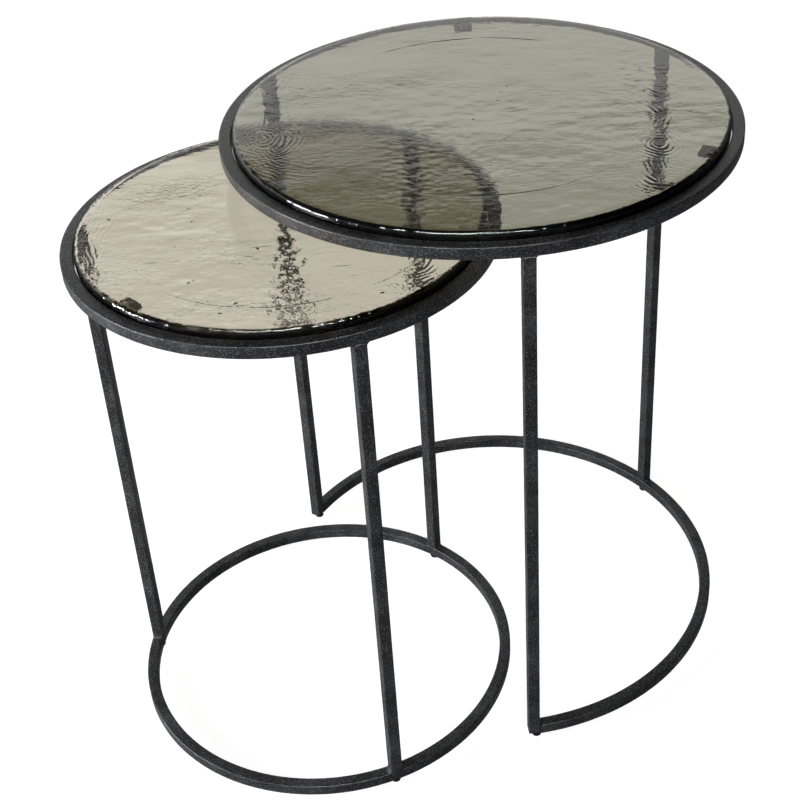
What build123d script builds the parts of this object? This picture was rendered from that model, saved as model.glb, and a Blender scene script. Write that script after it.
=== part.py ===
"""A pair of round nesting side tables: welded square-bar frames that carry thick cast glass discs.

The large table's base is an arc, open towards the small table, so that the small one slides in under it.
The origin is the middle of the pair's footprint, on the floor, and +Z is up.
"""

import os
from math import cos, radians, sin

from build123d import *

os.makedirs("parts", exist_ok=True)

# Driving dimensions, in millimetres and degrees. Angles run anticlockwise from +X, seen from above.
LARGE_RADIUS = 250
LARGE_HEIGHT = 600  # floor to the top of the glass
SMALL_RADIUS = 200
SMALL_HEIGHT = 555
NEST_DISTANCE = 219  # between the two tables' axes, with the small table partly pulled out
NEST_ANGLE = 213  # the direction in which the small table is pulled out

LARGE_LEG_ANGLES = {"front": -81.3, "right": 38.5, "rear": 152}
SMALL_LEG_ANGLES = {"left": 174, "front": 294, "right": 54}
LARGE_TAB_ANGLES = {"rear": 94, "left": 214, "right": 337}
SMALL_TAB_ANGLES = {"rear": 107, "front": 227, "right": 347}

BAR = 12  # square bar of the rims, bases and legs
BAR_EDGE = 1.2  # rounding along the bar's edges
FOOT_ROUNDING = 3.5  # at the bottom of the two legs that end the arc

GLIDE_HEIGHT = 5  # of the glide's head, between the floor and the frame
GLIDE_RADIUS = 5
GLIDE_ROUNDING = 2
GLIDE_SHIFT = 3  # from the middle of an end leg towards the arc
STEM_RADIUS = 2
STEM_LENGTH = 8

TAB_WIDTH = 19
TAB_DEPTH = 22
TAB_THICKNESS = 3
TAB_ROUNDING = 1
PAD_RADIUS = 4.5
PAD_THICKNESS = 1.5

GLASS_PROUD = 8  # height of the glass above the rim
GLASS_GAP = 0.5  # between the disc and the rim
GLASS_TOP_ROUNDING = 4.5
GLASS_BOTTOM_ROUNDING = 3

# Sizes that follow from them.
GLASS_THICKNESS = BAR + GLASS_PROUD - TAB_THICKNESS - PAD_THICKNESS
BASE_TOP = GLIDE_HEIGHT + BAR

nest_x = NEST_DISTANCE * cos(radians(NEST_ANGLE))
nest_y = NEST_DISTANCE * sin(radians(NEST_ANGLE))
LARGE_CENTRE = Vector((SMALL_RADIUS - LARGE_RADIUS - nest_x) / 2, (SMALL_RADIUS - LARGE_RADIUS - nest_y) / 2)
SMALL_CENTRE = LARGE_CENTRE + Vector(nest_x, nest_y)


def save(piece, name):
    """Names a finished piece and writes it."""
    piece.part.label = name
    export_step(piece.part, f"parts/{name}.step")


def radial_plane(centre, angle, radius, height, z_dir=(0, 0, 1)):
    """A plane at a place on the table's circle. Its local x points outwards."""
    outwards = Vector(1, 0, 0).rotate(Axis.Z, angle)
    return Plane(centre + outwards * radius + Vector(0, 0, height), x_dir=outwards, z_dir=z_dir)


def ring_section(centre, radius, bottom):
    """The section of a ring of square bar, on the +X side of its table."""
    with BuildSketch(Plane(centre, x_dir=(1, 0, 0), z_dir=(0, -1, 0)), mode=Mode.PRIVATE) as section:
        with Locations((radius - BAR / 2, bottom + BAR / 2)):
            RectangleRounded(BAR, BAR, BAR_EDGE)
    return section.sketch


# ---- Rims, and the small table's base, which is a whole ring ----
def make_ring(name, centre, radius, bottom, glide_angles=()):
    """glide_angles are where the underside is drilled for the stems of the glides."""
    with BuildPart() as ring:
        revolve(ring_section(centre, radius, bottom), axis=Axis(centre, (0, 0, 1)))
        for angle in glide_angles:
            with Locations(radial_plane(centre, angle, radius - BAR / 2, bottom, z_dir=(0, 0, -1))):
                Hole(STEM_RADIUS, STEM_LENGTH)
    save(ring, name)


make_ring("large_rim", LARGE_CENTRE, LARGE_RADIUS, LARGE_HEIGHT - GLASS_PROUD - BAR)
make_ring("small_rim", SMALL_CENTRE, SMALL_RADIUS, SMALL_HEIGHT - GLASS_PROUD - BAR)
make_ring("small_base_ring", SMALL_CENTRE, SMALL_RADIUS, GLIDE_HEIGHT, SMALL_LEG_ANGLES.values())

# ---- The large table's base: an arc ----
# It stops square against the inner sides of the front and rear legs. What is cut away is the sector
# between those two faces, drawn as one quadrilateral that reaches well past the ring.
REACH = 3 * LARGE_RADIUS
front_outwards = Vector(1, 0, 0).rotate(Axis.Z, LARGE_LEG_ANGLES["front"])
rear_outwards = Vector(1, 0, 0).rotate(Axis.Z, LARGE_LEG_ANGLES["rear"])
mouth_outwards = Vector(1, 0, 0).rotate(Axis.Z, NEST_ANGLE)
front_face = LARGE_CENTRE + front_outwards.rotate(Axis.Z, 90) * (BAR / 2)
rear_face = LARGE_CENTRE + rear_outwards.rotate(Axis.Z, -90) * (BAR / 2)

with BuildPart() as large_base_arc:
    revolve(ring_section(LARGE_CENTRE, LARGE_RADIUS, GLIDE_HEIGHT), axis=Axis(LARGE_CENTRE, (0, 0, 1)))
    with BuildSketch(Plane.XY.offset(GLIDE_HEIGHT)):
        with BuildLine():
            Polyline(
                front_face,
                front_face + front_outwards * REACH,
                LARGE_CENTRE + mouth_outwards * REACH,
                rear_face + rear_outwards * REACH,
                rear_face,
                close=True,
            )
        make_face()
    extrude(amount=BAR, mode=Mode.SUBTRACT)
    with Locations(
        radial_plane(LARGE_CENTRE, LARGE_LEG_ANGLES["right"], LARGE_RADIUS - BAR / 2, GLIDE_HEIGHT, (0, 0, -1))
    ):
        Hole(STEM_RADIUS, STEM_LENGTH)
save(large_base_arc, "large_base_arc")


# ---- Legs that stand on a base and end under the rim ----
def make_leg(name, centre, radius, height, angle):
    with BuildPart() as leg:
        with BuildSketch(radial_plane(centre, angle, radius - BAR / 2, BASE_TOP)):
            RectangleRounded(BAR, BAR, BAR_EDGE)
        extrude(amount=height - GLASS_PROUD - BAR - BASE_TOP)
    save(leg, name)


make_leg("large_leg_right", LARGE_CENTRE, LARGE_RADIUS, LARGE_HEIGHT, LARGE_LEG_ANGLES["right"])
for place, angle in SMALL_LEG_ANGLES.items():
    make_leg(f"small_leg_{place}", SMALL_CENTRE, SMALL_RADIUS, SMALL_HEIGHT, angle)


# ---- Legs that end the arc: they run down past it, to the glides ----
def make_end_leg(name, angle, arc_side):
    """arc_side is 1 where the arc leaves the leg anticlockwise, and -1 where it leaves clockwise."""
    length = LARGE_HEIGHT - GLASS_PROUD - BAR - GLIDE_HEIGHT
    foot = radial_plane(LARGE_CENTRE, angle, LARGE_RADIUS - BAR / 2, GLIDE_HEIGHT)
    across = Plane(foot.origin, x_dir=foot.y_dir * arc_side, z_dir=foot.x_dir * arc_side)
    along = Plane(foot.origin, x_dir=foot.x_dir, z_dir=-foot.y_dir)
    with BuildPart() as leg:
        with BuildSketch(across) as front_view:
            Rectangle(BAR, length, align=(Align.CENTER, Align.MIN))
            mouth_corner = front_view.vertices().group_by(Axis.Y)[0].sort_by(Axis.X)[0]
            fillet(mouth_corner, FOOT_ROUNDING)
        extrude(amount=BAR / 2, both=True)
        with BuildSketch(along) as side_view:
            Rectangle(BAR, length, align=(Align.CENTER, Align.MIN))
            fillet(side_view.vertices().group_by(Axis.Y)[0], FOOT_ROUNDING)
        extrude(amount=BAR / 2, both=True, mode=Mode.INTERSECT)
        fillet(leg.edges().filter_by(Axis.Z), BAR_EDGE)
        with Locations(Plane(foot.origin + across.x_dir * GLIDE_SHIFT, z_dir=(0, 0, -1))):
            Hole(STEM_RADIUS, STEM_LENGTH)
    save(leg, name)


make_end_leg("large_leg_front", LARGE_LEG_ANGLES["front"], 1)
make_end_leg("large_leg_rear", LARGE_LEG_ANGLES["rear"], -1)


# ---- Glides: a round head on the floor, and a stem pressed into the frame ----
def make_glide(name, place):
    with BuildPart() as glide:
        with BuildSketch(place):
            Circle(GLIDE_RADIUS)
        extrude(amount=GLIDE_HEIGHT)
        fillet(glide.edges().group_by(Axis.Z)[0], GLIDE_ROUNDING)
        with BuildSketch(place.offset(GLIDE_HEIGHT)):
            Circle(STEM_RADIUS)
        extrude(amount=STEM_LENGTH)
    save(glide, name)


glide_shifts = {"front": GLIDE_SHIFT, "right": 0, "rear": -GLIDE_SHIFT}
for place, angle in LARGE_LEG_ANGLES.items():
    spot = radial_plane(LARGE_CENTRE, angle, LARGE_RADIUS - BAR / 2, 0)
    make_glide(f"large_glide_{place}", spot.shift_origin(spot.origin + spot.y_dir * glide_shifts[place]))
for place, angle in SMALL_LEG_ANGLES.items():
    make_glide(f"small_glide_{place}", radial_plane(SMALL_CENTRE, angle, SMALL_RADIUS - BAR / 2, 0))


# ---- Tabs inside the rims, the soft pads on them, and the glass that lies on the pads ----
def make_tab(name, centre, radius, rim_bottom, angle):
    inner_radius = radius - BAR
    with BuildPart() as tab:
        with BuildSketch(radial_plane(centre, angle, inner_radius - TAB_DEPTH, rim_bottom)) as outline:
            Rectangle(TAB_DEPTH + BAR / 2, TAB_WIDTH, align=(Align.MIN, Align.CENTER))
            inwards_end = outline.vertices().group_by(Axis.X)[0]
            fillet(inwards_end, TAB_ROUNDING)
            with Locations((TAB_DEPTH - inner_radius, 0)):
                Circle(inner_radius, mode=Mode.INTERSECT)
        extrude(amount=TAB_THICKNESS)
    save(tab, name)


def make_pad(name, centre, radius, tab_top, angle):
    with BuildPart() as pad:
        with BuildSketch(radial_plane(centre, angle, radius - BAR - TAB_DEPTH / 2, tab_top)):
            Circle(PAD_RADIUS)
        extrude(amount=PAD_THICKNESS)
    save(pad, name)


def make_glass(name, centre, radius, height):
    with BuildPart() as glass:
        with BuildSketch(Plane(centre + Vector(0, 0, height - GLASS_THICKNESS))):
            Circle(radius - BAR - GLASS_GAP)
        extrude(amount=GLASS_THICKNESS)
        fillet(glass.edges().group_by(Axis.Z)[-1], GLASS_TOP_ROUNDING)
        fillet(glass.edges().group_by(Axis.Z)[0], GLASS_BOTTOM_ROUNDING)
    save(glass, name)


def make_top(table, centre, radius, height, tab_angles):
    rim_bottom = height - GLASS_PROUD - BAR
    for place, angle in tab_angles.items():
        make_tab(f"{table}_tab_{place}", centre, radius, rim_bottom, angle)
        make_pad(f"{table}_pad_{place}", centre, radius, rim_bottom + TAB_THICKNESS, angle)
    make_glass(f"{table}_glass", centre, radius, height)


make_top("large", LARGE_CENTRE, LARGE_RADIUS, LARGE_HEIGHT, LARGE_TAB_ANGLES)
make_top("small", SMALL_CENTRE, SMALL_RADIUS, SMALL_HEIGHT, SMALL_TAB_ANGLES)
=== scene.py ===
"""Two nesting side tables: hammered iron frames with lift-off tops of rippled cast glass."""

import math

import bpy
import numpy as np
from mathutils import Matrix, Vector


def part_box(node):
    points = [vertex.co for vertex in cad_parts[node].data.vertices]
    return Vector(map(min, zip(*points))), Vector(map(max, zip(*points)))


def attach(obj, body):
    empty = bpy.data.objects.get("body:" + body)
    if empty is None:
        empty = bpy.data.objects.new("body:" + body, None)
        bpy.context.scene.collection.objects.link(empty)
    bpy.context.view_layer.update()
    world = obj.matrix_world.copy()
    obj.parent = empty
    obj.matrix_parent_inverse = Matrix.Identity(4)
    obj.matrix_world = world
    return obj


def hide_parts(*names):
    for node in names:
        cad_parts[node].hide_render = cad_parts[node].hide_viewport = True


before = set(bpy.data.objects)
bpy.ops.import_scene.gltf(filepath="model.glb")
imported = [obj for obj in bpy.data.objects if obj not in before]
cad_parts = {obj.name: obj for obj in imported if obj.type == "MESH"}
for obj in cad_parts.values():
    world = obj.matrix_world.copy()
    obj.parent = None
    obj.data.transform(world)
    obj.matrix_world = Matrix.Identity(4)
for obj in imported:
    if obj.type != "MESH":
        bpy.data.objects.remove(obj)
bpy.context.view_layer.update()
scene = bpy.context.scene
scene.view_settings.view_transform = "Standard"
MM = 0.001

# ---- What the frame says: each table's axis, radii and levels ----
BAR_EDGE = 1.2 * MM
FOOT_ROUNDING = 3.5 * MM


class Table:
    def __init__(self, name, base):
        self.name = name
        low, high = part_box(f"{name}_rim")
        self.x, self.y = (low.x + high.x) / 2, (low.y + high.y) / 2
        self.radius = (high.x - low.x) / 2
        self.bar = high.z - low.z
        self.rim_low = low.z
        low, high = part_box(base)
        self.base_low, self.base_high = low.z, high.z
        low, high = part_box(f"{name}_glass")
        self.glass_low, self.glass_high = low.z, high.z
        self.glass_radius = (high.x - low.x) / 2
        self.middle = self.radius - self.bar / 2

    def angle(self, node):
        low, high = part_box(node)
        return math.atan2((low.y + high.y) / 2 - self.y, (low.x + high.x) / 2 - self.x)

    def point(self, angle, radius, height):
        return Vector((self.x + radius * math.cos(angle), self.y + radius * math.sin(angle), height))


large = Table("large", "large_base_arc")
small = Table("small", "small_base_ring")


# ---- Noise, the same on every run ----
WORD = 2**32
LOW_BITS = np.uint64(WORD - 1)
SEED_PRIME, MIX_PRIME = 374761393, np.uint64(2654435761)
AXIS_PRIMES = (668265263, 2246822519, 3266489917)


def hashed(corners, seed):
    """A number from 0 to 1 for each row of whole numbers."""
    h = np.full(corners.shape[:-1], seed * SEED_PRIME % WORD, np.uint64)
    for k, prime in enumerate(AXIS_PRIMES[: corners.shape[-1]]):
        whole = corners[..., k].astype(np.int64).astype(np.uint64)
        h = (h ^ (whole * np.uint64(prime))) & LOW_BITS
        h = (h * MIX_PRIME) & LOW_BITS
        h ^= h >> np.uint64(15)
    return h.astype(float) / WORD


def smooth_noise(points, seed):
    """Value noise from -1 to 1 at points of any dimension, with features about one unit across."""
    base = np.floor(points)
    t = points - base
    t = t * t * t * (t * (t * 6 - 15) + 10)
    dims = points.shape[-1]
    total = np.zeros(points.shape[:-1])
    for corner in range(2**dims):
        bits = np.array([(corner >> k) & 1 for k in range(dims)], float)
        weight = np.prod(np.where(bits > 0, t, 1 - t), axis=-1)
        total += weight * hashed(base + bits, seed)
    return total * 2 - 1


def cells(points, seed):
    """The distance from each point to the nearest of one scattered point per unit cell."""
    base = np.floor(points)
    dims = points.shape[-1]
    nearest = np.full(points.shape[:-1], 9.0)
    for step in np.ndindex(*(3,) * dims):
        cell = base + np.array(step) - 1
        place = np.stack([hashed(cell, seed + 11 * k) for k in range(dims)], -1)
        nearest = np.minimum(nearest, np.linalg.norm(cell + place - points, axis=-1))
    return nearest


# ---- Meshes ----
def new_piece(name, points, faces, material, body, replaces=()):
    mesh = bpy.data.meshes.new(name)
    mesh.from_pydata(points.tolist() if isinstance(points, np.ndarray) else points, [], faces)
    mesh.validate()
    mesh.polygons.foreach_set("use_smooth", [True] * len(mesh.polygons))
    mesh.materials.append(material)
    piece = bpy.data.objects.new(name, mesh)
    scene.collection.objects.link(piece)
    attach(piece, body)
    if replaces:
        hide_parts(*replaces)
    return piece


def grid_faces(rows, columns, closed_rows, closed_columns=True):
    """Quads over a grid of points, row by row."""
    r = np.arange(rows if closed_rows else rows - 1)[:, None]
    c = np.arange(columns if closed_columns else columns - 1)[None, :]
    r2, c2 = (r + 1) % rows, (c + 1) % columns
    quads = np.stack([r * columns + c, r * columns + c2, r2 * columns + c2, r2 * columns + c], -1)
    return quads.reshape(-1, 4).tolist()


def square_section(half, edge, spacing):
    """Points and outward normals round a square bar's section with rounded edges, anticlockwise."""
    points, normals = [], []
    flat = half - edge
    for quarter in range(4):
        turn = quarter * math.pi / 2
        c, s = math.cos(turn), math.sin(turn)
        side = np.linspace(-flat, flat, max(2, round(2 * flat / spacing)))
        local = [((half, y), (1.0, 0.0)) for y in side]
        for step in (1, 2):
            a = step * math.pi / 6
            n = (math.cos(a), math.sin(a))
            local.append(((flat + edge * n[0], flat + edge * n[1]), n))
        for (x, y), (nx, ny) in local:
            points.append((c * x - s * y, s * x + c * y))
            normals.append((c * nx - s * ny, s * nx + c * ny))
    return np.array(points), np.array(normals)


GRAIN_SPACING = 1.9 * MM  # of the points along a bar
SECTION_SPACING = 1.5 * MM  # of the points across its faces
HOLLOW_SIZE, SWAY_SIZE = 4.6, 34  # of the hammered hollows and the bar's slow unevenness, in mm


def hammered(points, normals):
    """Points pressed inwards by the soft hollows of hammered iron."""
    mm = points / MM
    hollow = np.clip(1 - cells(mm / HOLLOW_SIZE, 5), 0, 1)
    sway = 0.5 + 0.5 * smooth_noise(mm / SWAY_SIZE, 8)
    depth = (0.04 + 0.14 * hollow**1.5 + 0.12 * sway) * MM
    return points - normals * depth[..., None]


def hammered_piece(name, points, faces, material, body):
    """A bar's piece, which takes the place of the plain bar called name."""
    points = points.reshape(-1, 3)
    return new_piece(f"{name}_hammered", points, faces, material, body, [name])


def ring_piece(name, table, low, ends, material, body):
    """A ring of square bar or, where ends are two legs' angles, an arc from leg to leg."""
    section, section_normals = square_section(table.bar / 2, BAR_EDGE, SECTION_SPACING)
    radius = table.middle + section[:, 0]
    height = low + table.bar / 2 + section[:, 1]
    if ends:
        inset = np.arcsin(table.bar / 2 / radius)
        first, last = ends[0] + inset, ends[1] - inset
    else:
        first, last = np.zeros(len(radius)), np.full(len(radius), 2 * math.pi)
    stations = round((last - first).mean() * table.middle / GRAIN_SPACING)
    share = np.linspace(0, 1, stations, endpoint=bool(ends))[:, None]
    angle = first + (last - first) * share
    cos, sin = np.cos(angle), np.sin(angle)
    level = np.broadcast_to(height, angle.shape)
    points = np.stack([table.x + radius * cos, table.y + radius * sin, level], -1)
    outwards, upwards = section_normals[:, 0], np.broadcast_to(section_normals[:, 1], angle.shape)
    normals = np.stack([outwards * cos, outwards * sin, upwards], -1)
    points = hammered(points, normals)
    faces = grid_faces(stations, len(section), closed_rows=not ends)
    if ends:
        count = stations * len(section)
        faces.append(list(range(len(section))))
        faces.append(list(range(count - 1, count - 1 - len(section), -1)))
    faces = [face[::-1] for face in faces]
    return hammered_piece(name, points, faces, material, body)


def leg_piece(name, table, material, body, mouth=0):
    """An upright of square bar. mouth is the side, 1 or -1, on which an end leg's foot is rounded."""
    low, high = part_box(name)
    angle = table.angle(name)
    section, section_normals = square_section(table.bar / 2, BAR_EDGE, SECTION_SPACING)
    stations = round((high.z - low.z) / GRAIN_SPACING)
    rise = np.linspace(0, high.z - low.z, stations)
    if mouth:
        foot = np.linspace(0, FOOT_ROUNDING, 7)
        rise = np.concatenate([foot, rise[rise > FOOT_ROUNDING + GRAIN_SPACING / 2]])
    local = np.broadcast_to(section, (len(rise), *section.shape)).copy()
    if mouth:
        drop = np.clip(FOOT_ROUNDING - rise, 0, None)
        cut = FOOT_ROUNDING - np.sqrt(FOOT_ROUNDING**2 - drop**2)
        limit = (table.bar / 2 - cut)[:, None]
        local[..., 0] = np.clip(local[..., 0], -limit, limit)
        side = local[..., 1] * mouth
        local[..., 1] = np.minimum(side, limit) * mouth
    out = np.array([math.cos(angle), math.sin(angle)])
    across = np.array([-out[1], out[0]])
    centre = np.array([table.x, table.y]) + out * table.middle
    flat = centre + local[..., :1] * out + local[..., 1:] * across
    level = np.broadcast_to((low.z + rise)[:, None, None], (*flat.shape[:2], 1))
    points = np.concatenate([flat, level], -1)
    turned = section_normals[:, :1] * out + section_normals[:, 1:] * across
    normals = np.zeros_like(points)
    normals[..., :2] = turned
    points = hammered(points, normals)
    faces = grid_faces(len(rise), len(section), closed_rows=False)
    count = len(rise) * len(section)
    faces.append(list(range(len(section) - 1, -1, -1)))
    faces.append(list(range(count - len(section), count)))
    return hammered_piece(name, points, faces, material, body)


# ---- Materials ----
def material_of(name):
    material = bpy.data.materials.new(name)
    material.use_nodes = True
    return material, material.node_tree, material.node_tree.nodes["Principled BSDF"]


def node(tree, kind, settings=None, **inputs):
    """A node with its settings, and its inputs set to values or linked to sockets.

    An input is given by its name, with _ for a space, or by i and its number.
    """
    made = tree.nodes.new(kind)
    for key, value in (settings or {}).items():
        setattr(made, key, value)
    for key, value in inputs.items():
        numbered = key[0] == "i" and key[1:].isdigit()
        socket = made.inputs[int(key[1:]) if numbered else key.replace("_", " ")]
        if isinstance(value, bpy.types.NodeSocket):
            tree.links.new(value, socket)
        else:
            socket.default_value = value
    return made


def scaled_place(tree, scale):
    place = node(tree, "ShaderNodeTexCoord")
    return node(tree, "ShaderNodeMapping", Vector=place.outputs["Object"], Scale=scale).outputs[0]


def ramp(tree, factor, stops):
    made = node(tree, "ShaderNodeValToRGB", Fac=factor)
    elements = made.color_ramp.elements
    while len(elements) < len(stops):
        elements.new(0.5)
    for element, (position, value) in zip(elements, stops):
        element.position = position
        element.color = (*value, 1) if isinstance(value, tuple) else (value, value, value, 1)
    return made.outputs["Color"]


def noise(tree, place, scale, detail=3.0, roughness=0.5):
    return node(
        tree, "ShaderNodeTexNoise", Vector=place, Scale=scale, Detail=detail, Roughness=roughness
    ).outputs["Fac"]


def mix_values(tree, a, b, kind="MULTIPLY"):
    return node(tree, "ShaderNodeMath", {"operation": kind}, i0=a, i1=b).outputs[0]


def mix_colours(tree, share, a, b, settings=None):
    """b over a by share, or multiplied in with the settings MULTIPLY."""
    settings = {"data_type": "RGBA", **(settings or {})}
    return node(tree, "ShaderNodeMix", settings, i0=share, i6=a, i7=b).outputs[2]


MULTIPLY = {"blend_type": "MULTIPLY"}


def iron_material():
    material, tree, shader = material_of("hammered_iron")
    place = scaled_place(tree, (1, 1, 1))
    pits = node(
        tree, "ShaderNodeTexVoronoi", {"feature": "SMOOTH_F1"}, Vector=place, Scale=520.0, Smoothness=0.35
    ).outputs["Distance"]
    grain = noise(tree, place, 1000.0, 3.0, 0.6)
    cloud = noise(tree, place, 30.0, 3.0)
    relief = mix_values(tree, pits, mix_values(tree, grain, 0.8), "ADD")
    bump = node(tree, "ShaderNodeBump", Strength=1.0, Distance=0.30 * MM, Height=relief)
    tree.links.new(bump.outputs[0], shader.inputs["Normal"])
    tone = mix_values(tree, mix_values(tree, grain, 0.8), mix_values(tree, cloud, 0.2), "ADD")
    dark, middle, pale = (0.006, 0.006, 0.007), (0.021, 0.022, 0.024), (0.11, 0.112, 0.119)
    body = ramp(tree, tone, [(0.42, dark), (0.53, middle), (0.62, pale)])
    # Painted glints: small pale specks mixed into the base colour stand for sparkles of light on the
    # hammered finish
    specks = node(tree, "ShaderNodeTexVoronoi", {"feature": "F1"}, Vector=place, Scale=640.0)
    bright = ramp(tree, specks.outputs["Distance"], [(0.10, 1.0), (0.22, 0.0)])
    painted_glint_colour = (0.42, 0.425, 0.45, 1)
    mixed = mix_colours(tree, mix_values(tree, bright, 0.85), body, painted_glint_colour)
    tree.links.new(mixed, shader.inputs["Base Color"])
    tree.links.new(ramp(tree, grain, [(0.35, 0.32), (0.65, 0.20)]), shader.inputs["Roughness"])
    shader.inputs["Metallic"].default_value = 0.0
    shader.inputs["Specular IOR Level"].default_value = 0.36
    return material


def weld_material():
    material, tree, shader = material_of("weld_bead")
    place = scaled_place(tree, (1, 1, 1))
    grain = noise(tree, place, 700.0, 4.0, 0.6)
    bump = node(tree, "ShaderNodeBump", Strength=0.8, Distance=0.3 * MM, Height=grain)
    tree.links.new(bump.outputs[0], shader.inputs["Normal"])
    tree.links.new(ramp(tree, grain, [(0.35, 0.006), (0.7, 0.035)]), shader.inputs["Base Color"])
    tree.links.new(ramp(tree, grain, [(0.3, 0.62), (0.7, 0.48)]), shader.inputs["Roughness"])
    shader.inputs["Specular IOR Level"].default_value = 0.3
    return material


def plastic_material():
    material, tree, shader = material_of("glide_plastic")
    place = scaled_place(tree, (1, 1, 1))
    cloud = noise(tree, place, 400.0, 3.0)
    tree.links.new(ramp(tree, cloud, [(0.3, 0.006), (0.7, 0.016)]), shader.inputs["Base Color"])
    tree.links.new(ramp(tree, cloud, [(0.3, 0.16), (0.7, 0.28)]), shader.inputs["Roughness"])
    return material


def pad_material():
    material, tree, shader = material_of("soft_pad")
    place = scaled_place(tree, (1, 1, 1))
    cloud = noise(tree, place, 500.0, 2.0)
    tree.links.new(ramp(tree, cloud, [(0.3, 0.42), (0.7, 0.55)]), shader.inputs["Base Color"])
    tree.links.new(ramp(tree, cloud, [(0.3, 0.3), (0.7, 0.45)]), shader.inputs["Roughness"])
    shader.inputs["Transmission Weight"].default_value = 0.5
    shader.inputs["IOR"].default_value = 1.42
    return material


def glass_material(name, colour, density, relief):
    material, tree, shader = material_of(name)
    shader.inputs["Base Color"].default_value = (1, 1, 1, 1)
    shader.inputs["Transmission Weight"].default_value = 1.0
    shader.inputs["IOR"].default_value = 1.5
    streaks = noise(tree, scaled_place(tree, (110, 200, 110)), 1.0, 2.0, 0.6)
    fine = noise(tree, scaled_place(tree, (260, 430, 260)), 1.0, 2.0, 0.5)
    cloud = noise(tree, scaled_place(tree, (1, 1, 1)), 22.0, 2.0)
    height = mix_values(tree, streaks, mix_values(tree, fine, 0.4), "ADD")
    patches = noise(tree, scaled_place(tree, (9, 15, 9)), 1.0, 2.0, 0.55)
    share = node(
        tree, "ShaderNodeMapRange", Value=patches, From_Min=0.36, From_Max=0.68, To_Min=0.12, To_Max=1.0
    )
    height = mix_values(tree, height, share.outputs[0])
    bump = node(tree, "ShaderNodeBump", Strength=1.0, Distance=relief, Height=height)
    tree.links.new(bump.outputs[0], shader.inputs["Normal"])
    tree.links.new(ramp(tree, cloud, [(0.3, 0.0), (0.7, 0.03)]), shader.inputs["Roughness"])
    absorption = node(tree, "ShaderNodeVolumeAbsorption", Color=(*colour, 1), Density=density)
    tree.links.new(absorption.outputs[0], tree.nodes["Material Output"].inputs["Volume"])
    return material


def seed_material():
    material, tree, shader = material_of("glass_seed")
    cloud = noise(tree, scaled_place(tree, (1, 1, 1)), 900.0, 2.0)
    dark, brown = (0.010, 0.009, 0.007), (0.05, 0.045, 0.035)
    tree.links.new(ramp(tree, cloud, [(0.3, dark), (0.7, brown)]), shader.inputs["Base Color"])
    tree.links.new(ramp(tree, cloud, [(0.3, 0.5), (0.7, 0.7)]), shader.inputs["Roughness"])
    return material


iron = iron_material()
seed_look = seed_material()
weld_iron = weld_material()
plastic = plastic_material()
pad = pad_material()
large_glass_look = glass_material("large_cast_glass", (0.26, 0.25, 0.10), 103.0, 0.24 * MM)
small_glass_look = glass_material("small_cast_glass", (0.40, 0.32, 0.12), 63.0, 0.50 * MM)


# ---- Frames ----
ring_piece("large_rim", large, large.rim_low, None, iron, "large_table")
ring_piece("small_rim", small, small.rim_low, None, iron, "small_table")
ring_piece("small_base_ring", small, small.base_low, None, iron, "small_table")
front, rear = large.angle("large_leg_front"), large.angle("large_leg_rear")
ring_piece("large_base_arc", large, large.base_low, (front, rear), iron, "large_table")
leg_piece("large_leg_front", large, iron, "large_table", mouth=-1)
leg_piece("large_leg_rear", large, iron, "large_table", mouth=1)
leg_piece("large_leg_right", large, iron, "large_table")
for place in ("left", "front", "right"):
    leg_piece(f"small_leg_{place}", small, iron, "small_table")

# ---- Welds: a lumpy concave bead on each side of a leg, where it meets a ring ----
WELD_SUNK = 0.7 * MM  # how deep a bead's back lies in both bars
WELD_INSET = 0.7 * MM  # how far its ends stay inside the bar's faces


def add_bead(points, faces, corner, along, out, up, reach, seed):
    """along is half the bead's length, and out and up point away from the corner over the two bars."""
    rows, columns = 15, 8
    buried = 0.15 * MM
    start = len(points)
    for i in range(rows):
        u = 2 * i / (rows - 1) - 1
        lump = 1 + 0.38 * float(smooth_noise(np.array([[u * 2.1 + 7.3 * seed, 3.1]]), seed)[0])
        size = reach * lump * (1 - 0.55 * abs(u) ** 6)
        points.append(corner + along * u - (out + up) * WELD_SUNK)
        for j in range(columns):
            turn = j / (columns - 1) * math.pi / 2
            ripple = 1 + 0.10 * math.sin(i * 2.4 + seed)
            a = (1 - math.sin(turn)) ** 0.8 * size * ripple
            b = (1 - math.cos(turn)) ** 0.8 * size * ripple
            points.append(corner + along * u + out * (a - buried) + up * (b - buried))
    width = columns + 1
    faces += [[start + k for k in f] for f in grid_faces(rows, width, closed_rows=False)]
    faces.append([start + k for k in range(width - 1, -1, -1)])
    faces.append([start + (rows - 1) * width + k for k in range(width)])


def weld_piece(name, table, joints, body):
    """joints: (leg's angle, level, 1 if the leg rises from it or -1 if it hangs from it, sides, reach)."""
    points, faces = [], []
    for k, (angle, level, rise, sides, reach) in enumerate(joints):
        outwards = Vector((math.cos(angle), math.sin(angle), 0))
        across = Vector((-outwards.y, outwards.x, 0))
        for side in sides:
            corner = table.point(angle, table.middle, level) + across * side * table.bar / 2
            flip = side * rise
            add_bead(
                points, faces, corner, outwards * flip * (table.bar / 2 - WELD_INSET),
                across * side, Vector((0, 0, rise)), reach, 3 * k + side + 2,
            )
    return new_piece(name, np.array([list(p) for p in points]), faces, weld_iron, body)


TOP_BEAD, FOOT_BEAD = 3.6 * MM, 3.0 * MM
BOTH = (-1, 1)


def weld_legs(table, foot_sides):
    """Beads at the top and foot of each leg. foot_sides gives the sides of each foot that meet the base."""
    angles = {place: table.angle(f"{table.name}_leg_{place}") for place in foot_sides}
    tops = [(angle, table.rim_low, -1, BOTH, TOP_BEAD) for angle in angles.values()]
    feet = [(angles[place], table.base_high, 1, sides, FOOT_BEAD) for place, sides in foot_sides.items()]
    weld_piece(f"{table.name}_welds", table, tops + feet, f"{table.name}_table")


weld_legs(large, {"front": (1,), "rear": (-1,), "right": BOTH})
weld_legs(small, {"left": BOTH, "front": BOTH, "right": BOTH})

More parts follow.
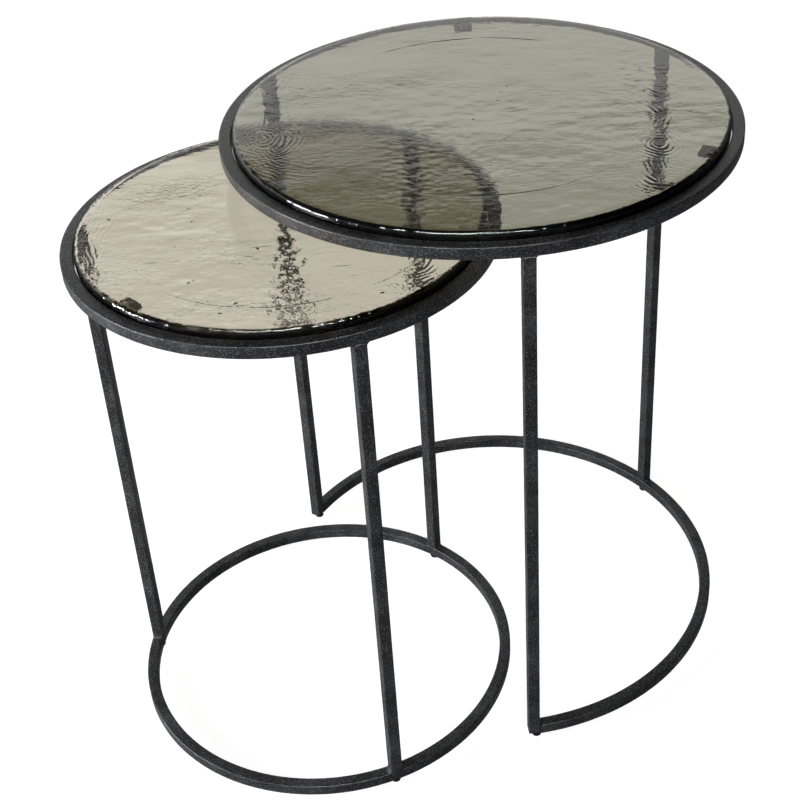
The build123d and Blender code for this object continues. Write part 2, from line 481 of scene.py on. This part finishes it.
for name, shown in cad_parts.items():
    for kind, look in (("_tab_", iron), ("_pad_", pad), ("_glide_", plastic)):
        if kind in name:
            shown.data.materials.clear()
            shown.data.materials.append(look)


# ---- Glass ----
def disc_rings(radius, crease, coarse, fine, change):
    """Radii from the middle outwards: coarse steps, then fine ones, with one ring on the crease."""
    inner = list(np.arange(1, round(change / coarse) + 1) * change / round(change / coarse))
    count = round((radius - change) / fine)
    outer = [change + (radius - change) * (k + 1) / count for k in range(count)]
    radii = np.array(inner + outer)
    nearest = int(np.argmin(abs(radii - crease)))
    shift = crease - radii[nearest]
    radii[: nearest + 1] *= crease / radii[nearest]
    radii[nearest + 1 :] += shift * (radius - radii[nearest + 1 :]) / (radius - radii[nearest + 1])
    return radii


def strip(first, n1, second, n2):
    """Triangles between a ring of n1 points and the next one out of n2, both starting at angle 0."""
    faces, i, j = [], 0, 0
    while i < n1 or j < n2:
        if j < n2 and (i >= n1 or (j + 1) * n1 <= (i + 1) * n2):
            faces.append((first + i % n1, second + j % n2, second + (j + 1) % n2))
            j += 1
        else:
            faces.append((first + i % n1, second + j % n2, first + (i + 1) % n1))
            i += 1
    return faces


# The extra rings beside the crease, in mm from it
CREASE_RINGS = (-0.9, -0.45, 0, 0.45, 0.9)
# The underside has this share of the top's rings, as it is seen through the glass only
UNDERSIDE_SHARE = 0.45
# The chipped top edge, in mm: the size of its bays and nicks, how far they go in, and how far nicks go down
BAY_SIZE, NICK_SIZE = 14, (3.6, 3.6, 7)
BAY_PULL, NICK_PULL, NICK_DROP = 0.45, 0.75, 0.45
# The chipping fades in over SHOULDER_WIDTH from SHOULDER_START inside the wall
SHOULDER_START, SHOULDER_WIDTH = 9 * MM, 7 * MM


def glass_piece(name, table, material, body, top_waves, bottom_waves, crease, steps):
    """The whole disc: wavy top, rounded edge, wall, rounded lower edge and wavy underside.

    steps are the rings' coarse and fine spacing and the radius at which one gives way to the other.
    """
    edge_top, edge_low = 4.5 * MM, 3.0 * MM
    radius = table.glass_radius - 0.05 * MM
    low, high = table.glass_low + 0.1 * MM, table.glass_high - 0.05 * MM
    points, faces = [], []

    def add_ring(r, z, count):
        start = len(points)
        angle = np.arange(count) * 2 * math.pi / count
        ring = np.stack([r * np.cos(angle), r * np.sin(angle), np.full(count, z)], -1)
        points.extend(ring.tolist())
        return start, count

    rings = []
    points.append([0, 0, high])
    flat = disc_rings(radius - edge_top, crease, *steps)
    for k, r in enumerate(flat):
        for step in CREASE_RINGS if abs(r - crease) < 1e-6 else (0,):
            rings.append(add_ring(r + step * MM, high, 6 * (k + 1)))
    around = rings[-1][1]
    for k in range(1, 8):
        a = k / 7 * math.pi / 2
        r, z = radius - edge_top + edge_top * math.sin(a), high - edge_top + edge_top * math.cos(a)
        rings.append(add_ring(r, z, around))
    walls = np.linspace(high - edge_top, low + edge_low, 6)[1:]
    for z in walls:
        rings.append(add_ring(radius, z, around))
    for k in range(1, 6):
        a = k / 5 * math.pi / 2
        r, z = radius - edge_low + edge_low * math.cos(a), low + edge_low - edge_low * math.sin(a)
        rings.append(add_ring(r, z, around))
    below = round(len(flat) * UNDERSIDE_SHARE)
    for k in range(below, 0, -1):
        r = (radius - edge_low) * (k - 0.001) / (below + 1)
        rings.append(add_ring(r, low, 6 * k))
    points.append([0, 0, low])
    last = len(points) - 1
    for j in range(6):
        faces.append((0, 1 + j, 1 + (j + 1) % 6))
        faces.append((last, rings[-1][0] + (j + 1) % 6, rings[-1][0] + j))
    for (first, n1), (second, n2) in zip(rings, rings[1:]):
        if n1 == n2:
            faces.extend(
                (first + j, second + j, second + (j + 1) % n1, first + (j + 1) % n1) for j in range(n1)
            )
        else:
            faces.extend(strip(first, n1, second, n2))
    points = np.array(points)
    above = np.clip((points[:, 2] - (low + edge_low)) / (high - edge_top - low - edge_low), 0, 1)
    top = top_waves(points[:, 0], points[:, 1])
    bottom = bottom_waves(points[:, 0], points[:, 1])
    points[:, 2] -= above * top
    points[:, 2] += (1 - above) * bottom
    out = np.linalg.norm(points[:, :2], axis=1)
    bays = 0.5 + 0.5 * smooth_noise(points[:, :2] / (BAY_SIZE * MM), 71)
    nicks = 0.5 + 0.5 * smooth_noise(points / (np.array(NICK_SIZE) * MM), 73)
    shoulder = np.clip((out - (radius - SHOULDER_START)) / SHOULDER_WIDTH, 0, 1)
    pull = above**2 * shoulder**2 * (BAY_PULL * bays + NICK_PULL * nicks) * MM
    points[:, 2] -= above * shoulder * nicks * NICK_DROP * MM
    points[:, :2] *= (1 - pull / np.maximum(out, MM))[:, None]
    points[:, 0] += table.x
    points[:, 1] += table.y
    return new_piece(f"{name}_cast", points, faces, material, body, [name])


def waves(seed, zones=(), groove=None, strength=1.0, brisk=None):
    """How far a face of the glass is pressed in at x, y from the middle of the disc. Never less than 0.

    zones are ripple zones, as below. groove is a crease's radius, width and depth in mm, and its arcs as
    the angle of the middle and the reach in degrees. brisk is a place with livelier waves: its middle and
    reach in mm, and how much livelier.
    """

    def pressed(x, y):
        x, y = x / MM, y / MM

        def field(long, wide, k, turn=0.0):
            c, s = math.cos(turn), math.sin(turn)
            return smooth_noise(np.stack([(c * x + s * y) / long, (c * y - s * x) / wide], -1), seed + k)

        sway = 0.28 * field(78, 64, 1, 0.4) + 0.09 * field(36, 28, 2)
        run = 0.085 * field(19, 12, 3, 0.06) + 0.048 * field(10, 7, 4, -0.05) + 0.018 * field(5.5, 4.2, 5)
        run *= 0.35 + 0.75 * np.clip(0.5 + 0.9 * field(75, 60, 7), 0, 1)
        if brisk:
            cx, cy, reach, lift = brisk
            near = np.exp(-(((x - cx) / reach) ** 2) - ((y - cy) / reach) ** 2)
            run = run * (1 + lift * near) + near * lift * 0.030 * field(6.5, 5.0, 6)
        total = 0.78 + strength * (sway + run)
        for cx, cy, size_x, size_y, ring_x, ring_y, pitch, height in zones:
            window = np.exp(-(((x - cx) / size_x) ** 2) - ((y - cy) / size_y) ** 2)
            if pitch:
                bend = 4.5 * field(24, 24, 9) + 1.2 * field(7, 7, 10)
                far = np.hypot(x - ring_x, 0.85 * (y - ring_y)) + bend
                patch = np.clip(0.8 + 0.7 * field(14, 14, 15 + int(abs(cx))), 0, 1.4)
                total += height * window * patch * np.sin(2 * math.pi * far / pitch)
            else:
                total += height * window * (field(6.5, 5.0, 31) + 0.5 * field(3.6, 3.0, 33))
        if groove:
            radius, width, cut, arcs = groove
            out = np.hypot(x, y)
            turn = np.degrees(np.arctan2(y, x))
            there = sum(np.exp(-((((turn - a + 180) % 360 - 180) / w) ** 4)) for a, w in arcs)
            breaks = smooth_noise(np.stack([turn / 9, turn * 0], -1), seed + 13)
            there = there * np.clip(0.65 + 0.6 * breaks, 0, 1)
            total += cut * there * np.exp(-(((out - radius) / width) ** 2))
        return np.maximum(total, 0.02) * MM

    return pressed


# Ripple zones, in mm from the middle of the disc: the zone's middle and reach both ways, the middle of
# its rings, their pitch and their height. Where the pitch is 0 the zone has blotches for rings.
LARGE_ZONES = [
    (-190, -60, 30, 44, -206, -48, 4.6, 0.130),
    (-180, -116, 28, 36, -150, -40, 4.8, 0.090),
    (-208, -60, 22, 60, 0, 0, 4.4, 0.100),
    (-200, 70, 22, 40, -150, 60, 5.0, 0.075),
    (158, -85, 26, 34, 161, -85, 4.6, 0.105),
    (156, -10, 24, 55, 120, -30, 5.0, 0.075),
    (150, -155, 30, 36, 175, -120, 4.8, 0.095),
    (160, 60, 40, 60, 0, 0, 0, 0.120),
    (-62, -60, 30, 50, 0, 0, 0, 0.150),
    (-60, -150, 30, 60, 0, 0, 0, 0.130),
    (0, -130, 34, 80, 0, 0, 0, 0.120),
]
SMALL_ZONES = [
    (-166, -55, 13, 70, 0, 0, 4.4, 0.15),
    (14, -60, 22, 36, 0, 0, 0, 0.20),
    (18, -120, 24, 38, 0, 0, 0, 0.24),
    (126, -86, 26, 44, 120, -80, 5.6, 0.11),
    (-50, -35, 24, 22, 0, 0, 0, 0.09),
]
CREASE_WIDTH = CREASE_DEPTH = 0.45
large_crease = 0.73 * large.glass_radius
small_crease = 0.81 * small.glass_radius
large_groove = (large_crease / MM, CREASE_WIDTH, CREASE_DEPTH, [(-88, 34), (92, 24), (128, 8)])
small_groove = (small_crease / MM, CREASE_WIDTH, CREASE_DEPTH, [(-112, 14), (-80, 14), (-40, 14)])
glass_piece(
    "large_glass", large, large_glass_look, "large_glass_top",
    waves(100, LARGE_ZONES, large_groove, brisk=(120, 10, 95, 0.9)),
    waves(200, strength=0.7),
    large_crease, (2.3 * MM, 1.15 * MM, 120 * MM),
)
glass_piece(
    "small_glass", small, small_glass_look, "small_glass_top",
    waves(300, SMALL_ZONES, small_groove, strength=1.15, brisk=(-10, -70, 110, 2.0)),
    waves(400, strength=0.7),
    small_crease, (2.2 * MM, 1.15 * MM, 70 * MM),
)


SEED_DEPTH = 3.6 * MM
SEED_INSET = 22 * MM  # of the outermost seeds from the disc's edge


def seed_piece(table, body, count, seed):
    """The small dark seeds in the glass, just under its top, with a thin thread after every five."""
    draw = np.random.default_rng(seed)
    rows, cols = 6, 10
    points, faces = [], []
    height = table.glass_high - SEED_DEPTH
    for number in range(count):
        r, a = (table.glass_radius - SEED_INSET) * math.sqrt(draw.random()), draw.random() * 2 * math.pi
        size = (0.65 + 0.85 * draw.random() ** 2) * MM
        turn = draw.random() * math.pi
        long = 1.0 + 1.1 * draw.random()
        if number % 6 == 5:
            size, long, turn = 0.42 * MM, 14 + 12 * draw.random(), 0.5 * draw.random() - 0.1
        spot = np.array([table.x + r * math.cos(a), table.y + r * math.sin(a), height])
        start = len(points)
        ball = [[0, 0, 1]]
        for i in range(1, rows):
            for j in range(cols):
                p, q = math.pi * i / rows, 2 * math.pi * j / cols
                ball.append([math.sin(p) * math.cos(q), math.sin(p) * math.sin(q), math.cos(p)])
        ball = np.array(ball + [[0, 0, -1]])
        ball *= (1 + 0.35 * smooth_noise(ball * 1.3 + spot / MM, seed + 1))[:, None]
        ball *= [long, 1, 0.7]
        c, s = math.cos(turn), math.sin(turn)
        ball = np.stack([c * ball[:, 0] - s * ball[:, 1], s * ball[:, 0] + c * ball[:, 1], ball[:, 2]], -1)
        points += (spot + ball * size).tolist()
        last = start + 1 + (rows - 1) * cols
        for j in range(cols):
            k = (j + 1) % cols
            faces.append((start, start + 1 + j, start + 1 + k))
            faces.append((last, last - cols + k, last - cols + j))
            for i in range(rows - 2):
                row = start + 1 + i * cols
                faces.append((row + j, row + cols + j, row + cols + k, row + k))
    return new_piece(f"{table.name}_glass_seeds", points, faces, seed_look, body)


seed_piece(large, "large_glass_top", 30, 21)
seed_piece(small, "small_glass_top", 24, 22)


# ---- Camera, from the large table's axis on the floor ----
CAMERA_BACK, CAMERA_UP = 1.3182, 1.2173
YAW, PITCH, ROLL = -0.0368, 0.5896, 0.0501
LENS, SENSOR = 67.80, 36.0
SHIFT_X, SHIFT_Y = -0.0506, -0.0744


def set_camera():
    ahead = Vector((math.sin(YAW) * math.cos(PITCH), math.cos(YAW) * math.cos(PITCH), -math.sin(PITCH)))
    level = Vector((math.cos(YAW), -math.sin(YAW), 0))
    down = ahead.cross(level)
    right = math.cos(ROLL) * level + math.sin(ROLL) * down
    up = math.sin(ROLL) * level - math.cos(ROLL) * down
    data = bpy.data.cameras.new("camera")
    data.sensor_width, data.lens = SENSOR, LENS
    data.shift_x, data.shift_y = SHIFT_X, SHIFT_Y
    data.clip_start, data.clip_end = 0.05, 60
    camera = bpy.data.objects.new("camera", data)
    scene.collection.objects.link(camera)
    place = Matrix((right, up, -ahead)).transposed().to_4x4()
    place.translation = Vector((large.x, large.y - CAMERA_BACK, CAMERA_UP))
    camera.matrix_world = place
    scene.camera = camera


set_camera()


# ---- Studio ----
def seen_straight(tree):
    """1 where the backdrop is seen directly or through glass, and 0 where it lights or is mirrored."""
    path = node(tree, "ShaderNodeLightPath")
    return mix_values(tree, path.outputs["Is Camera Ray"], path.outputs["Is Transmission Ray"], "MAXIMUM")


# How bright the studio is from its left to its right, from the horizon up, and from its front to its back
ACROSS = [(0.0, 1.0), (0.40, 0.90), (0.60, 0.78), (0.80, 0.20), (1.0, 0.04)]
UP = [
    (0.0, 0.5), (0.22, 1.0), (0.42, 1.0), (0.475, 0.25),
    (0.51, 0.03), (0.60, 0.03), (0.68, 0.14), (1.0, 0.10),
]
BACKWARDS = [(0.0, 0.30), (0.35, 0.40), (0.75, 1.0)]
STUDIO_STRENGTH = 1.35


def set_world():
    world = bpy.data.worlds.new("studio")
    scene.world = world
    world.use_nodes = True
    tree = world.node_tree
    tree.nodes.clear()
    place = node(tree, "ShaderNodeTexCoord")
    axes = node(tree, "ShaderNodeSeparateXYZ", Vector=place.outputs["Generated"])
    side = node(tree, "ShaderNodeMapRange", Value=axes.outputs[0], From_Min=-1.0, From_Max=1.0)
    across = ramp(tree, side.outputs[0], ACROSS)
    up = ramp(tree, axes.outputs[2], UP)
    depth = node(tree, "ShaderNodeMapRange", Value=axes.outputs[1], From_Min=-1.0, From_Max=1.0)
    backwards = ramp(tree, depth.outputs[0], BACKWARDS)
    tone = mix_colours(tree, 1.0, across, up, MULTIPLY)
    tone = mix_colours(tree, 1.0, tone, backwards, MULTIPLY)
    light = node(tree, "ShaderNodeBackground", Color=tone, Strength=STUDIO_STRENGTH)
    white = node(tree, "ShaderNodeBackground", Color=(1, 1, 1, 1), Strength=1.0)
    straight = seen_straight(tree)
    both = node(tree, "ShaderNodeMixShader", Fac=straight, i1=light.outputs[0], i2=white.outputs[0])
    node(tree, "ShaderNodeOutputWorld", Surface=both.outputs[0])


FLOOR_REACH, FLOOR_DROP = 12, 0.2 * MM


def add_floor():
    material = bpy.data.materials.new("pale_floor")
    material.use_nodes = True
    tree = material.node_tree
    tree.nodes.clear()
    cloud = noise(tree, scaled_place(tree, (1, 1, 1)), 3.0)
    tone = ramp(tree, cloud, [(0.3, 0.30), (0.7, 0.31)])
    dull = node(tree, "ShaderNodeBsdfDiffuse", Color=tone)
    glow = node(tree, "ShaderNodeEmission", Color=(1, 1, 1, 1), Strength=0.93)
    nothing = node(tree, "ShaderNodeEmission", Color=(1, 1, 1, 1), Strength=0.0)
    straight = seen_straight(tree)
    shown = node(tree, "ShaderNodeMixShader", Fac=straight, i1=nothing.outputs[0], i2=glow.outputs[0])
    both = node(tree, "ShaderNodeAddShader", i0=dull.outputs[0], i1=shown.outputs[0])
    node(tree, "ShaderNodeOutputMaterial", Surface=both.outputs[0])
    corners = [(x * FLOOR_REACH, y * FLOOR_REACH, 0) for x, y in ((-1, -1), (1, -1), (1, 1), (-1, 1))]
    mesh = bpy.data.meshes.new("floor")
    mesh.from_pydata(corners, [], [(0, 1, 2, 3)])
    mesh.materials.append(material)
    floor = bpy.data.objects.new("floor", mesh)
    scene.collection.objects.link(floor)
    floor.location.z = -FLOOR_DROP


def add_light(name, place, aim, size, power, mirrored=True, lights=True):
    """An area lamp. mirrored: whether it shows in reflections. lights: whether it lights dull surfaces."""
    data = bpy.data.lights.new(name, "AREA")
    data.shape, data.energy = "RECTANGLE", power
    data.size, data.size_y = size
    lamp = bpy.data.objects.new(name, data)
    scene.collection.objects.link(lamp)
    lamp.location = place
    lamp.visible_glossy = lamp.visible_transmission = mirrored
    lamp.visible_diffuse = lights
    lamp.rotation_euler = (Vector(aim) - Vector(place)).to_track_quat("-Z", "Y").to_euler()


set_world()
add_floor()
add_light("key", (-2.6, -0.7, 0.70), (0, 0, 0.35), (1.0, 0.8), 110)
add_light("front", (0.2, -3.0, 0.60), (0, 0, 0.3), (1.8, 0.5), 34, mirrored=False)
add_light("sparkle", (-0.1, -1.3, 2.3), (0, 0, 0.5), (2.2, 0.20), 120, lights=False)
